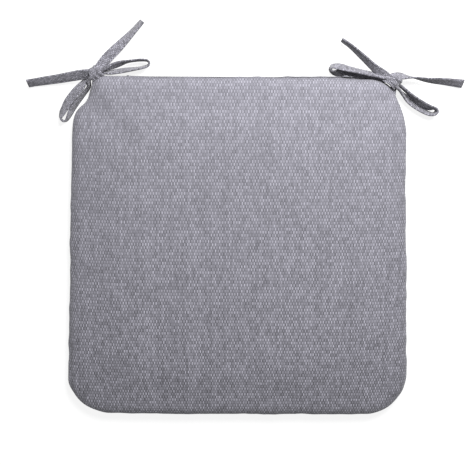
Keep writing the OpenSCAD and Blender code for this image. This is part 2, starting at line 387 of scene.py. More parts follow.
class Shader:
    """A Principled material, with short calls for the few kinds of node that the finishes need."""

    def __init__(self, name, roughness):
        self.material = bpy.data.materials.new(name)
        self.material.use_nodes = True
        self.tree = self.material.node_tree
        self.surface = self.tree.nodes["Principled BSDF"]
        self.surface.inputs["Roughness"].default_value = roughness

    def constant(self, **values):
        """Sets numbers and colours on the shader's own sockets."""
        for key, value in values.items():
            self.surface.inputs[key.replace("_", " ")].default_value = value

    def add(self, kind, inputs=(), **settings):
        node = self.tree.nodes.new("ShaderNode" + kind)
        for key, value in settings.items():
            setattr(node, key, value)
        for key, value in dict(inputs).items():
            self.put(value, node.inputs[key])
        return node

    def put(self, value, socket):
        if isinstance(value, bpy.types.NodeSocket):
            self.tree.links.new(value, socket)
        else:
            socket.default_value = value

    def math(self, operation, a, b=0.0):
        node = self.add("Math", operation=operation)
        self.put(a, node.inputs[0])
        self.put(b, node.inputs[1])
        return node.outputs[0]

    def times(self, a, b):
        return self.math("MULTIPLY", a, b)

    def plus(self, a, b):
        return self.math("ADD", a, b)

    def combine(self, x, y, z=0.0):
        return self.add("CombineXYZ", {"X": x, "Y": y, "Z": z}).outputs[0]

    def noise(self, vector, scale=1.0, detail=2.0):
        """Soft noise from 0 to 1."""
        return self.add("TexNoise", {"Vector": vector, "Scale": scale, "Detail": detail}).outputs["Fac"]

    def speckle(self, vector):
        """A value of its own, from 0 to 1, for each place."""
        return self.add("TexWhiteNoise", {"Vector": vector}, noise_dimensions="2D").outputs["Value"]

    def spread(self, value, low, high, to_low=0.0, to_high=1.0, kind="SMOOTHSTEP"):
        inputs = {"Value": value, "From Min": low, "From Max": high, "To Min": to_low, "To Max": to_high}
        return self.add("MapRange", inputs, interpolation_type=kind).outputs["Result"]

    def blend(self, share, a, b):
        """Colour a at 0 and b at 1. A share above 1 goes on past b."""
        node = self.add("Mix", data_type="RGBA", clamp_factor=False)
        self.put(share, node.inputs["Factor"])
        self.put(a, node.inputs[6])
        self.put(b, node.inputs[7])
        return node.outputs[2]

    def scaled(self, colour, factor):
        """The colour times a number. The colour is a socket or (red, green, blue)."""
        node = self.add("VectorMath", operation="SCALE")
        self.put(colour, node.inputs[0])
        self.put(factor, node.inputs["Scale"])
        return node.outputs[0]

    def bump(self, height, strength, distance):
        node = self.add("Bump", {"Height": height, "Strength": strength, "Distance": distance})
        self.tree.links.new(node.outputs[0], self.surface.inputs["Normal"])

    def colour(self, value):
        self.put(value, self.surface.inputs["Base Color"])

    def cloth_place(self):
        """The piece's place in the flat cloth, across and along."""
        place = self.add("Attribute", attribute_name="cloth").outputs["Vector"]
        split = self.add("SeparateXYZ", {"Vector": place})
        return place, split.outputs["X"], split.outputs["Y"]

    def solid_place(self):
        return self.add("TexCoord").outputs["Object"]


def plain_weave(shader, warp_pitch, weft_pitch, wander):
    """The place in the cloth, the yarn counts across and along, and how far the warp lies over the weft, from
    -1 to 1. wander is how far the yarns stray, as a share of their pitch."""
    place, x, y = shader.cloth_place()
    drift = shader.plus(shader.noise(place, 55.0, 2.0), -0.5)
    shiver = shader.plus(shader.noise(place, 420.0, 1.0), -0.5)
    shift = shader.plus(shader.times(drift, wander * 3), shader.times(shiver, wander))
    across = shader.plus(shader.times(x, 1 / warp_pitch), shift)
    along = shader.plus(shader.times(y, 1 / weft_pitch), shader.times(shift, 0.6))
    wave_x = shader.math("SINE", shader.times(across, math.pi))
    wave_y = shader.math("SINE", shader.times(along, math.pi))
    return place, across, along, shader.times(wave_x, wave_y)


def melange_cloth(name, warp_pitch, weft_pitch, contrast, grain=(1.0, 1.0)):
    """The cover's grey plain weave of mixed yarns: pale grains run front to back over a darker weft.

    grain is how strong the grains' contrast is at the pad's front and rear. This is painted light: the grain is
    painted stronger at the front and softer at the rear, for the way the light from the rear falls on the weave.
    """
    shader = Shader(name, 0.92)
    shader.constant(Specular_IOR_Level=0.25, Sheen_Weight=0.15, Sheen_Roughness=0.5)
    place, across, along, over = plain_weave(shader, warp_pitch, weft_pitch, 0.24)
    cell = shader.combine(shader.math("FLOOR", across), shader.math("FLOOR", along))
    yarn_cell = shader.combine(shader.math("FLOOR", across), 3.0)
    fibre = shader.noise(shader.combine(shader.times(across, 4.5), shader.times(along, 4.6)), 1.0, 2.0)

    def factor(value, low, high, swing):
        return shader.spread(value, low, high, 1 - swing * contrast, 1 + swing * contrast, "LINEAR")

    crown = shader.spread(over, -0.45, 0.5)
    tone = shader.blend(crown, CLOTH_WEFT, CLOTH_WARP)
    # Painted shade: the colour darkens at the edges of each cell, where the yarns dip, for the shade in the gaps
    # between them. The factors after it are the yarns' own tone, at random.
    shade = shader.spread(shader.math("ABSOLUTE", over), 0.0, 0.45, 1 - 0.36 * contrast, 1.0)
    shade = shader.times(shade, factor(shader.speckle(cell), 0.0, 1.0, 0.30))
    shade = shader.times(shade, factor(shader.speckle(yarn_cell), 0.0, 1.0, 0.07))
    shade = shader.times(shade, factor(fibre, 0.25, 0.75, 0.30))
    shade = shader.times(shade, factor(shader.noise(place, 24.0, 3.0), 0.3, 0.7, 0.055))
    # Painted light: the colour is pushed away from the cloth's mean colour at the front and drawn towards it at the
    # rear, for the way the light from the rear falls on the weave.
    clear = shader.spread(shader.cloth_place()[2], -REAR_Y, REAR_Y, *grain, "LINEAR")
    shader.colour(shader.blend(clear, CLOTH_MEAN, shader.scaled(tone, shade)))
    height = shader.plus(shader.math("ABSOLUTE", over), shader.times(fibre, 0.5))
    shader.bump(height, 0.5 * contrast, 0.3 * MM)
    return shader.material


def liner_felt():
    """Thin white nonwoven with a dimpled bond pattern."""
    shader = Shader("liner_felt", 0.85)
    shader.constant(Specular_IOR_Level=0.3)
    place, _, _, over = plain_weave(shader, 1.1 * MM, 1.1 * MM, 0.05)
    fibre = shader.noise(place, 900.0, 4.0)
    tone = shader.blend(fibre, (0.66, 0.66, 0.63, 1), (0.83, 0.83, 0.80, 1))
    shader.colour(tone)
    shader.bump(shader.plus(shader.spread(over, 0.1, 0.7), fibre), 0.5, 0.15 * MM)
    return shader.material


def open_foam():
    """Pale yellow foam with open cells."""
    shader = Shader("open_foam", 0.95)
    shader.constant(Specular_IOR_Level=0.2)
    place = shader.solid_place()
    cells = shader.add("TexVoronoi", {"Vector": place, "Scale": 620.0}).outputs["Distance"]
    cloud = shader.noise(place, 40.0, 3.0)
    # Painted shade: the colour darkens towards the middle of each cell, for the shade inside the open pores.
    pit = shader.spread(cells, 0.1, 0.6)
    tone = shader.blend(pit, (0.42, 0.33, 0.15, 1), (0.80, 0.70, 0.43, 1))
    shader.colour(shader.scaled(tone, shader.spread(cloud, 0.3, 0.7, 0.9, 1.08, "LINEAR")))
    shader.bump(pit, 0.7, 0.4 * MM)
    return shader.material


def spun_thread(name, tone):
    """Twisted sewing thread."""
    shader = Shader(name, 0.7)
    shader.constant(Sheen_Weight=0.2, Specular_IOR_Level=0.4)
    place = shader.solid_place()
    strand = shader.add("TexWave", {"Vector": place, "Scale": 700.0, "Distortion": 1.5}).outputs["Fac"]
    shader.colour(shader.scaled(tone, shader.spread(strand, 0.0, 1.0, 0.72, 1.15, "LINEAR")))
    shader.bump(strand, 0.5, 0.08 * MM)
    return shader.material


def twill_tape():
    """Zip tape: a fine diagonal weave."""
    shader = Shader("twill_tape", 0.85)
    shader.constant(Specular_IOR_Level=0.3)
    place = shader.solid_place()
    split = shader.add("SeparateXYZ", {"Vector": place})
    x, z = split.outputs["X"], split.outputs["Z"]
    line = shader.math("SINE", shader.times(shader.plus(x, z), 2 * math.pi / (1.1 * MM)))
    fibre = shader.noise(place, 1500.0, 3.0)
    rise = shader.plus(shader.times(line, 0.5), fibre)
    tone = shader.blend(shader.spread(rise, 0.0, 1.0), (0.055, 0.055, 0.065, 1), (0.135, 0.133, 0.15, 1))
    shader.colour(tone)
    shader.bump(rise, 0.5, 0.12 * MM)
    return shader.material


def coil_nylon():
    """Glossy dark grey monofilament."""
    shader = Shader("coil_nylon", 0.38)
    shader.constant(Coat_Weight=0.15, Specular_IOR_Level=0.5)
    grime = shader.noise(shader.solid_place(), 350.0, 3.0)
    shader.colour(shader.blend(grime, (0.035, 0.035, 0.042, 1), (0.075, 0.074, 0.084, 1)))
    shader.put(shader.spread(grime, 0.2, 0.8, 0.30, 0.5, "LINEAR"), shader.surface.inputs["Roughness"])
    shader.bump(grime, 0.15, 0.05 * MM)
    return shader.material


def painted_metal():
    """Die-cast metal under satin grey paint, with small clouds in the paint and fine scratches."""
    shader = Shader("painted_metal", 0.45)
    shader.constant(Metallic=0.15)
    place = shader.solid_place()
    cloud = shader.noise(place, 260.0, 4.0)
    stretched = shader.add("VectorMath", {0: place, 1: (300.0, 4000.0, 4000.0)}, operation="MULTIPLY")
    scratch = shader.noise(stretched.outputs[0])
    shader.colour(shader.blend(cloud, (0.045, 0.045, 0.052, 1), (0.075, 0.075, 0.086, 1)))
    shader.put(shader.spread(scratch, 0.3, 0.7, 0.38, 0.58, "LINEAR"), shader.surface.inputs["Roughness"])
    shader.bump(scratch, 0.2, 0.03 * MM)
    return shader.material


# ---- ties

# A route point is (x, y, z, lean, width share) in millimetres from the knot, as in part.scad. The lean is how
# far the tie's width turns from upright towards the left of its way.
ROOT_A_Z = 15.2
ROOT_B_Z = 12.8
LEFT_KNOT = (-160, 203)
RIGHT_KNOT = (171, 196)
LEFT_A = [
    (4.5, -15, ROOT_A_Z, 90, 1), (2, -11, ROOT_A_Z, 90, 1), (1.5, -6.5, 13.5, 60, 0.65),
    (1, -3, 10.5, 20, 0.5), (3, 0, 9, 0, 0.5), (8, 0.2, 9.5, -5, 0.65), (16, 0.9, 9.3, -18, 0.85),
    (25.5, 2.4, 9, -22, 0.95), (37, 4.1, 9, -16, 1), (47, 5.6, 9, -9, 1), (53.5, 7, 9, -8, 1),
    (58.2, 8.8, 9, -8, 1), (59.6, 11.5, 9, -8, 1), (57.4, 14.2, 9, -8, 1), (51, 14.8, 9, -8, 1),
    (43, 14.2, 9, -9, 1), (34, 12.8, 9.5, -13, 1), (26, 10.5, 10.5, -26, 0.95), (17.5, 7.4, 12, -32, 0.8),
    (9, 4, 15.5, -12, 0.6), (2, 2.5, 18.5, -50, 0.5), (-6, 0.5, 17.5, -70, 0.8),
    (-16, -1.5, 13.3, -67, 1), (-28, -3.7, 10.2, -63, 1), (-42, -6.2, 8.6, -57, 1),
    (-59, -8.8, 7.5, -50, 1), (-77, -11.6, 7, -42, 1),
]
LEFT_B = [
    (4.5, -15, ROOT_B_Z, 90, 1), (2, -11, ROOT_B_Z, 90, 1), (-0.5, -7, 10.5, 60, 0.6),
    (-3, -3.5, 9.5, 20, 0.5), (-6.5, -2.5, 9, 10, 0.5), (-10.5, -6.3, 9.8, 25, 0.72),
    (-16.2, -13.9, 10.9, 50, 0.95), (-23.5, -21.6, 11.2, 58, 1), (-31.5, -31.5, 10.8, 56, 1),
    (-36.3, -39.3, 10.2, 44, 1), (-39.8, -45, 9.2, 34, 1), (-41.6, -49.6, 8.2, 13, 1),
    (-38, -53.5, 7.4, 4, 1), (-33.9, -51, 7, 7, 1), (-28.4, -40.6, 6.5, 21, 1), (-21, -30.5, 6.3, 20, 1),
    (-14.6, -22.5, 6.5, 16, 0.95), (-9, -15.4, 7.9, 12, 0.75), (-7, -8.5, 14.6, 2, 0.6),
    (-2.5, -3.5, 18.5, 35, 0.5), (2, 2, 19, 70, 0.7), (7.5, 8.5, 17, 88, 1), (14.5, 17.5, 15, 95, 1),
    (24, 27, 13, 108, 1), (33.5, 36.5, 11, 128, 1), (43.5, 47, 9.5, 145, 1), (52.5, 57, 8.5, 155, 1),
]
RIGHT_A = [
    (-5, -15.5, ROOT_A_Z, 90, 1), (-2, -12, ROOT_A_Z, 90, 1), (0.5, -7.5, 13.5, 60, 0.65),
    (0, -3.5, 10.5, 20, 0.5), (-3, -0.5, 9, 0, 0.5), (-10, 0.8, 9, -14, 0.65), (-20, 2.7, 7.4, -26, 0.85),
    (-29, 3.8, 5.9, -34, 0.9), (-38, 5, 5.5, -40, 1), (-48, 6.5, 5.4, -44, 1), (-59, 8.6, 5.4, -44, 1),
    (-66, 10.1, 6.3, -20, 1), (-69.2, 13, 7.6, 0, 1), (-67, 16.4, 9, -16, 1), (-59, 15.6, 10.5, -33, 1),
    (-48, 12.9, 10.5, -27, 1), (-38, 10.7, 10.7, -23, 1), (-29, 8.8, 11.1, -22, 0.95),
    (-20, 7, 13.5, -25, 0.7), (-12, 5, 17, -40, 0.5), (-5, 4.5, 18.5, -60, 0.6), (2, 6, 17, -42, 0.85),
    (9.5, 6, 14.5, -32, 1), (17.5, 5, 12.5, -10, 1), (28, 3.5, 11, 8, 1), (40.5, 1.5, 9.5, 22, 1),
    (58, 0, 8, 38, 1), (79.5, -2.5, 7, 50, 1),
]
RIGHT_B = [
    (-5, -15.5, ROOT_B_Z, 90, 1), (-2, -12, ROOT_B_Z, 90, 0.95), (2, -8, 10.5, 60, 0.5),
    (4.5, -4.5, 9.5, 20, 0.5), (8.5, -5, 9.5, 8, 0.6), (15, -9.9, 10.6, 10, 0.8),
    (20.7, -15, 11.2, 15, 0.95), (26.3, -19.6, 11.2, 24, 1), (32, -23.8, 10.7, 31, 1),
    (38.3, -27.3, 10.4, 30, 1), (44.2, -29.5, 9.7, 25, 1), (49.4, -30.4, 8.8, 10, 1),
    (51.5, -33.4, 8, 5, 1), (49, -36.4, 7.3, 6, 1), (43.6, -35.9, 6.7, 18, 1), (37.5, -33.2, 6.3, 25, 1),
    (31, -29.6, 6.2, 29, 1), (25.2, -25.4, 6, 35, 1), (19.7, -21, 6.1, 35, 1),
    (14.7, -16.9, 7.4, 28, 0.9), (10.5, -13, 11.2, 14, 0.75), (6.5, -8.5, 15, 12, 0.55),
    (1.5, -3.5, 18.5, 50, 0.5), (-5, 1.5, 19, 85, 0.75), (-11.5, 7, 17, 118, 1),
    (-21.5, 14.5, 15, 139, 1), (-35, 26.7, 12.6, 154, 1), (-47, 37, 10.5, 163, 1), (-58, 45, 8.5, 170, 1),
]
TIE_W = 12 * MM
TIE_T = 2 * MM
# The end hem and the width of its stitch line, and how deep the creases and the pleats are.
HEM_LENGTH = 8 * MM
HEM_STITCH = 0.6 * MM
SWAY = 0.45 * MM
PLEAT = 1.1 * MM
ROUTE_STEPS = 12

# Half of the tie's section, from one edge to the other, as shares of half its width and thickness. The dip
# near one edge is the line of stitches that closes the folded tie.
TIE_SECTION = [
    (-1.0, 0.0), (-0.985, 0.5), (-0.93, 0.9), (-0.85, 1.0), (-0.77, 0.95), (-0.71, 0.5), (-0.65, 0.92),
    (-0.5, 1.0), (-0.25, 1.0), (0.0, 1.0), (0.25, 1.0), (0.5, 1.0), (0.75, 0.98), (0.92, 0.85), (0.98, 0.45),
    (1.0, 0.0),
]
TIE_RING = TIE_SECTION + [(x, -y) for x, y in TIE_SECTION[-2:0:-1]]


def ribbon(way, seed):
    """Sweeps the tie's section along (x, y, z, lean, share) points, with soft creases, pleats where it is
    gathered and a sewn hem at its end."""
    centres = [Vector(p[:3]) for p in way]
    ways = ways_along(centres)
    points, cloth = [], []
    length = sum((b - a).length for a, b in zip(centres, centres[1:]))
    run = 0.0
    for i, (centre, along) in enumerate(zip(centres, ways)):
        lean, share = math.radians(way[i][3]), way[i][4]
        left = Vector((-along.y, along.x, 0.0)).normalized()
        up = along.cross(left)
        across = math.cos(lean) * up + math.sin(lean) * left
        face = along.cross(across)
        run += (centre - centres[i - 1]).length if i else 0.0
        gather = 1 - share
        half_w = TIE_W / 2 * share
        from_end = length - run
        hem = 0.2 * smooth_step((HEM_LENGTH - from_end) / MM)
        stitch = 0.25 * bell(from_end - 0.8 * HEM_LENGTH, HEM_STITCH)
        half_t = TIE_T / 2 * (1 + 0.9 * gather + hem - stitch)
        for x, y in TIE_RING:
            sway = noise.noise(Vector((run * 55, x * 0.9, seed))) * SWAY
            pleat = gather * PLEAT * math.cos(x * math.pi * 1.6)
            offset = y * half_t + (sway + pleat) * (1 - 0.3 * abs(x))
            points.append(centre + across * (x * half_w) + face * offset)
            cloth.append((x * TIE_W / 2, run))
    return points, sleeve(len(way), len(TIE_RING)), cloth


def add_tie(name, knot, route, seed, material, node):
    """A tie, and the middle line that it follows."""
    route = [((knot[0] + x) * MM, (knot[1] + y) * MM, z * MM, lean, share) for x, y, z, lean, share in route]
    way = smooth_route(route, ROUTE_STEPS)
    obj = make_object(name, *ribbon(way, seed))
    finish_piece(obj, material, "cover_cloth", node)
    return obj, [p[:3] for p in way]


# Half the width and height of the knot's turns, and half the width of their band.
KNOT_SIDE = 6.3 * MM
KNOT_TALL = 6.6 * MM
KNOT_BAND = 5.2 * MM
# The two turns of the knot's band: how far along the knot's axis, how much wider, and how far tilted.
KNOT_TURNS = [(-1.0 * MM, 1.0, 0.20), (2.0 * MM, 1.1, -0.12)]


def add_knot(name, knot, heading, material, node, seed):
    """The band that wraps a bow's middle, as two creased turns of the tie about the knot's axis."""
    centre = Vector((knot[0] * MM, knot[1] * MM, MID_Z - 0.5 * MM))
    axis = Vector((math.cos(heading), math.sin(heading), 0.0))
    side = Vector((-axis.y, axis.x, 0.0))
    steps = 40
    faces = [(a, d, c, b) for a, b, c, d in sleeve(steps, len(TIE_RING), closed=True)]
    parts = []
    for turn, (shift, swell, tilt) in enumerate(KNOT_TURNS):
        ring_points, ring_cloth = [], []
        for k in range(steps):
            around = 2 * math.pi * k / steps
            cos, sin = math.cos(around), math.sin(around)
            out = cos * side * KNOT_SIDE * swell + Vector((0, 0, sin * KNOT_TALL * swell))
            middle = centre + out + axis * (shift + tilt * out.dot(side))
            outward = (cos * side / KNOT_SIDE + Vector((0, 0, sin / KNOT_TALL))).normalized()
            half_w = KNOT_BAND * (0.86 + 0.14 * sin)
            for x, y in TIE_RING:
                wrinkle = noise.noise(Vector((around, x * 2, seed + turn)))
                crease = 0.5 * MM * math.cos(x * 5 + seed) + 0.3 * MM * wrinkle
                ring_points.append(middle + axis * (x * half_w) + outward * (y * MM + crease))
                ring_cloth.append((x * TIE_W / 2, around * KNOT_SIDE))
        parts.append((ring_points, faces, ring_cloth))
    obj = make_object(name, *joined(parts))
    modifier(obj, "SUBSURF", levels=1, render_levels=1)
    return finish_piece(obj, material, "cover_cloth", node)


def add_ties(cloth):
    # For each bow: its knot, the heading of the knot's axis, and each tie's route, length and letter.
    bows = {
        "left": (LEFT_KNOT, math.radians(35), [(LEFT_A, 0.222, "a"), (LEFT_B, 0.233, "b")]),
        "right": (RIGHT_KNOT, math.radians(50), [(RIGHT_A, 0.244, "a"), (RIGHT_B, 0.217, "b")]),
    }
    for number, (side, (knot, heading, straps)) in enumerate(bows.items()):
        wrap = add_knot(f"{side}_knot", knot, heading, cloth, f"tie_{side}_knot", 3.0 + number)
        for route, length, letter in straps:
            seed = 10.0 * number + 1 + ord(letter)
            node = f"tie_{side}_strap_{letter}"
            obj, path = add_tie(f"{side}_tie_{letter}", knot, route, seed, cloth, node)
            going = [wrap] if letter == "a" else []
            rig.cord(obj, exit=path[0], length=length, diameter=TIE_W, far_end="bare", stiffness="limp",
                    lay="loose", path=path, with_pieces=going)


# ---- the pad's outline

TAPER = (FRONT_W - REAR_W) / (4 * REAR_Y)
SLANT = math.atan(TAPER)


def side_x(y):
    """X of the plain outline's right side."""
    return (FRONT_W + REAR_W) / 4 - TAPER * y


def corner(y, radius, side):
    """Arc centre x and y, and the radius, of one corner. side is 1 on the right and -1 on the left."""
    return side * (side_x(y) - radius / math.cos(SLANT)), y, radius


FRONT_CY = FRONT_R - REAR_Y
REAR_CY = REAR_Y - REAR_R
CORNERS = [corner(FRONT_CY, FRONT_R, 1), corner(REAR_CY, REAR_R, 1),
           corner(REAR_CY, REAR_R, -1), corner(FRONT_CY, FRONT_R, -1)]
# The way out of the right side, the rear, the left side and the front.
NORMALS = [SLANT, math.pi / 2, math.pi - SLANT, 3 * math.pi / 2]

# Swellings and hollows of the sewn edge: where on the outline, how wide there, and how many millimetres
# out. The large ones are where the ties pull on the two rear corners.
EDGE_WAVES = [
    (0.149, 0.018, 0.6), (0.186, 0.02, -0.8), (0.45, 0.06, 0.5), (0.7, 0.05, -0.4),
    (1.02, 0.045, 4.2), (1.115, 0.035, -2.2), (1.95, 0.035, 6.4), (2.025, 0.035, -5.0),
    (2.35, 0.05, 0.5), (2.6, 0.06, -0.5), (2.93, 0.03, 0.6), (3.06, 0.03, -0.8),
    (3.32, 0.06, 0.8), (3.63, 0.06, 0.8),
]


def edge_wave(t):
    return MM * sum(swing * bell(t - at, width) for at, width, swing in EDGE_WAVES)


def outline_at(t):
    """Arc centre x and y, radius and angle at t. Whole numbers are the middles of the four corners, from the
    front right one round by the rear."""
    side = int(t) % 4
    share = t - int(t)
    (ax, ay, ar), (bx, by, br) = CORNERS[side], CORNERS[(side + 1) % 4]
    normal = NORMALS[side]
    before = NORMALS[side - 1] - (2 * math.pi if side == 0 else 0)
    after = NORMALS[(side + 1) % 4] + (2 * math.pi if side == 3 else 0)
    first, last = ar * (normal - before) / 2, br * (after - normal) / 2
    out = Vector((math.cos(normal), math.sin(normal)))
    straight = ((Vector((bx, by)) + br * out) - (Vector((ax, ay)) + ar * out)).length
    run = share * (first + straight + last)
    wave = edge_wave(t)
    if run < first:
        return ax, ay, ar + wave, (before + normal) / 2 + run / ar
    if run > first + straight:
        return bx, by, br + wave, normal + (run - first - straight) / br
    part = (run - first) / straight
    return mix(ax, bx, part), mix(ay, by, part), mix(ar, br, part) + wave, normal


def outline_xy(t, inset):
    """The point of the outline at t, and inset in from it."""
    x, y, radius, angle = outline_at(t)
    return Vector((x + (radius - inset) * math.cos(angle), y + (radius - inset) * math.sin(angle)))


# How far the panels' rims stay from the middle height at the zip's slot, along the seam and at the ties, and
# how far the slot and the ties' openings reach.
ZIP_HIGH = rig.box("zip_coil_upper")[1]
SLOT_HALF = ZIP_HIGH[0] + 1 * MM
SLOT_GAP = ZIP_HIGH[2] - MID_Z + 0.3 * MM
SEAM_GAP = 0.2 * MM
TIE_GAP = 2.3 * MM
TIE_OPEN = 17 * MM
RUN_OUT = 4 * MM
TIE_ROOTS = [Vector(((knot[0] + route[0][0]) * MM, (knot[1] + route[0][1]) * MM))
             for knot, route in ((LEFT_KNOT, LEFT_A), (RIGHT_KNOT, RIGHT_A))]


def zip_share(point):
    """1 along the zip's slot and 0 elsewhere, with a short run-out at each end."""
    if point.y < REAR_Y - 10 * MM:
        return 0.0
    return smooth_step((SLOT_HALF + 3 * MM - abs(point.x)) / RUN_OUT)


def tie_share(point):
    """1 where a pair of ties comes out of the seam."""
    return max(smooth_step((TIE_OPEN - (point - root).length) / (6 * MM)) for root in TIE_ROOTS)


def rim_height(point):
    """From the middle height to a panel's rim."""
    return max(mix(SEAM_GAP, SLOT_GAP, zip_share(point)), mix(SEAM_GAP, TIE_GAP, tie_share(point)))


# ---- panels and foam

GRID = 84
DOME_REACH = 95 * MM
# A dome is how far the pad's middle stands up and how far its edge hangs below that.
TOP_DOME = (1.0 * MM, 6.5 * MM)
FLAT = (0.0, 0.0)
# How far out from the seam the hem lies in the flat cloth.
HEM_CLOTH = 20 * MM
# How far the rings are up the rolled side, from the face down to the seam.
SIDE_LEVELS = [0.88, 0.76, 0.65, 0.54, 0.44, 0.35, 0.27, 0.20, 0.13, 0.07, 0.03, 0.0]


def grid_loop(n):
    """(column, row) round the edge of the square grid, in the outline's order."""
    right = [(n, j) for j in range(n)]
    rear = [(n - i, n) for i in range(n)]
    left = [(0, n - j) for j in range(n)]
    front = [(i, 0) for i in range(n)]
    return right + rear + left + front


def loop_place(u, v):
    """t on the outline for a point on the edge of the square from -1 to 1."""
    if u >= abs(v) and u > v:
        return (v / u + 1) / 2
    if v >= abs(u):
        return 1 + (1 - u / v) / 2
    if -u >= abs(v) and -u > -v:
        return 2 + (1 + v / u) / 2
    return 3 + (1 - u / v) / 2


def dome_rise(dome, depth):
    """How far the face stands above its plain height. depth is in from the edge."""
    return dome[0] - dome[1] * max(1 - depth / DOME_REACH, 0.0) ** 2


def flat_depth(u, v, rim_in):
    """Distance in from the cover's edge at a point of the square from -1 to 1, less at its corners."""
    return rim_in + (1 - (u ** 6 + v ** 6) ** (1 / 6)) * REAR_Y


def half_pad(inset, height, roll, rim, hem, settle, dome=FLAT):
    """Upper half of a pad about the middle height: a grid of faces on top, rings down the rolled side, and a
    turned-in hem. rim(point) is the rim's height over the middle height, hem is how far in and up each of
    the hem's rings is, and settle(point, outward) moves each point to the cloth's own shape."""
    points, cloth = [], []
    for i in range(GRID + 1):
        for j in range(GRID + 1):
            u, v = 2 * i / GRID - 1, 2 * j / GRID - 1
            m = max(abs(u), abs(v))
            place = outline_xy(loop_place(u, v) % 4, inset + roll) * m if m else Vector((0.0, 0.0))
            rise = dome_rise(dome, flat_depth(u, v, inset + roll))
            points.append(settle(Vector((place.x, place.y, MID_Z + height + rise)), Vector((0, 0, 1))))
            cloth.append((place.x, place.y))
    rings = [[i * (GRID + 1) + j for i, j in grid_loop(GRID)]]
    count = len(rings[0])
    corners = [(2 * i / GRID - 1, 2 * j / GRID - 1) for i, j in grid_loop(GRID)]
    places = [loop_place(u, v) % 4 for u, v in corners]
    for level in SIDE_LEVELS:
        ring = []
        for t, (u, v) in zip(places, corners):
            edge = outline_xy(t, inset)
            depth = flat_depth(u, v, inset + roll)
            low = math.asin(min(rim(edge) / (height + dome_rise(dome, depth - roll)), 1.0))
            turn = low + (math.pi / 2 - low) * level
            x, y, radius, angle = outline_at(t)
            reach = radius - inset - roll * (1 - math.cos(turn))
            tall = height + dome_rise(dome, depth - roll * math.cos(turn))
            out = Vector((math.cos(angle), math.sin(angle)))
            spot = Vector((x, y)) + reach * out
            outward = Vector((out.x * math.cos(turn), out.y * math.cos(turn), math.sin(turn)))
            ring.append(len(points))
            points.append(settle(Vector((spot.x, spot.y, MID_Z + tall * math.sin(turn))), outward))
            flat = outline_xy(t, inset + roll) + out * (math.pi / 2 - turn) * (roll + height) / 2
            cloth.append((flat.x, flat.y))
        rings.append(ring)
    for depth, rise in hem:
        ring = []
        for k, t in enumerate(places):
            last = points[rings[len(SIDE_LEVELS)][k]]
            angle = outline_at(t)[3]
            edge = outline_xy(t, inset)
            reach = depth * (1 - 0.85 * zip_share(edge))
            ring.append(len(points))
            points.append(last + Vector((-math.cos(angle) * reach, -math.sin(angle) * reach, rise)))
            x, y = edge.x + math.cos(angle) * HEM_CLOTH, edge.y + math.sin(angle) * (HEM_CLOTH + depth)
            cloth.append((x, y))
        rings.append(ring)
    faces = [
        (i * (GRID + 1) + j, (i + 1) * (GRID + 1) + j, (i + 1) * (GRID + 1) + j + 1, i * (GRID + 1) + j + 1)
        for i in range(GRID) for j in range(GRID)
    ]
    for upper, lower in zip(rings, rings[1:]):
        for k in range(count):
            after = (k + 1) % count
            faces.append((upper[k], lower[k], lower[after], upper[after]))
    return points, faces, cloth


def turned_over(shape):
    """The same half below the middle height."""
    points, faces, cloth = shape
    return [Vector((p.x, p.y, PAD_H - p.z)) for p in points], [face[::-1] for face in faces], cloth


def as_is(point, outward):
    return point


def no_height(point):
    return 0.0


def closed_pad(name, inset, height, roll, settle=as_is, dome=FLAT):
    """A whole pad without a seam, with its dome on the upper side only."""
    upper, lower = (half_pad(inset, height, roll, no_height, [], settle, top) for top in (dome, FLAT))
    obj = make_object(name, *joined([upper, turned_over(lower)]))
    shape = bmesh.new()
    shape.from_mesh(obj.data)
    bmesh.ops.remove_doubles(shape, verts=shape.verts, dist=0.05 * MM)
    shape.to_mesh(obj.data)
    shape.free()
    obj.data.shade_smooth()
    return obj


def evaluated_mesh(obj):
    graph = bpy.context.evaluated_depsgraph_get()
    return bpy.data.meshes.new_from_object(obj.evaluated_get(graph))


SWELL_FRAMES = 20
MOST_SWELL = 3.5 * MM
PUCKER = 0.9 * MM
WAVE = 1.2 * MM
PINCH = 1.1 * MM
# How far the lower edge stands out past the upper one.
LIP = 1 * MM


def swollen_surface():
    """The pad's surface after the stuffed cover has swollen a little, from a short cloth simulation. It
    starts from a pad that is a little small."""
    obj = closed_pad("swelling", 1.6 * MM, MID_Z - 1.4 * MM, EDGE_ROLL, dome=TOP_DOME)
    modifier(obj, "REMESH", mode="VOXEL", voxel_size=5 * MM)
    mesh = evaluated_mesh(obj)
    obj.modifiers.clear()
    obj.data = mesh
    start = [v.co.copy() for v in mesh.vertices]
    held = obj.vertex_groups.new(name="held")
    for v in mesh.vertices:
        near_seam = bell(v.co.z - MID_Z, 3 * MM)
        if near_seam > 0.05:
            held.add([v.index], near_seam, "REPLACE")
    cloth = modifier(obj, "CLOTH")
    cloth.settings.use_pressure = True
    cloth.settings.uniform_pressure_force = 4
    cloth.settings.quality = 6
    cloth.settings.mass = 0.3
    cloth.settings.vertex_group_mass = "held"
    cloth.settings.effector_weights.gravity = 0
    scene = bpy.context.scene
    for number in range(SWELL_FRAMES):
        scene.frame_set(number + 1)
    swollen = evaluated_mesh(obj)
    points = []
    for before, after in zip(start, swollen.vertices):
        move = after.co - before
        if move.length > MOST_SWELL:
            move *= MOST_SWELL / move.length
        points.append(before + move)
    faces = [tuple(face.vertices) for face in swollen.polygons]
    scene.frame_set(1)
    bpy.data.objects.remove(obj)
    return BVHTree.FromPolygons(points, faces)


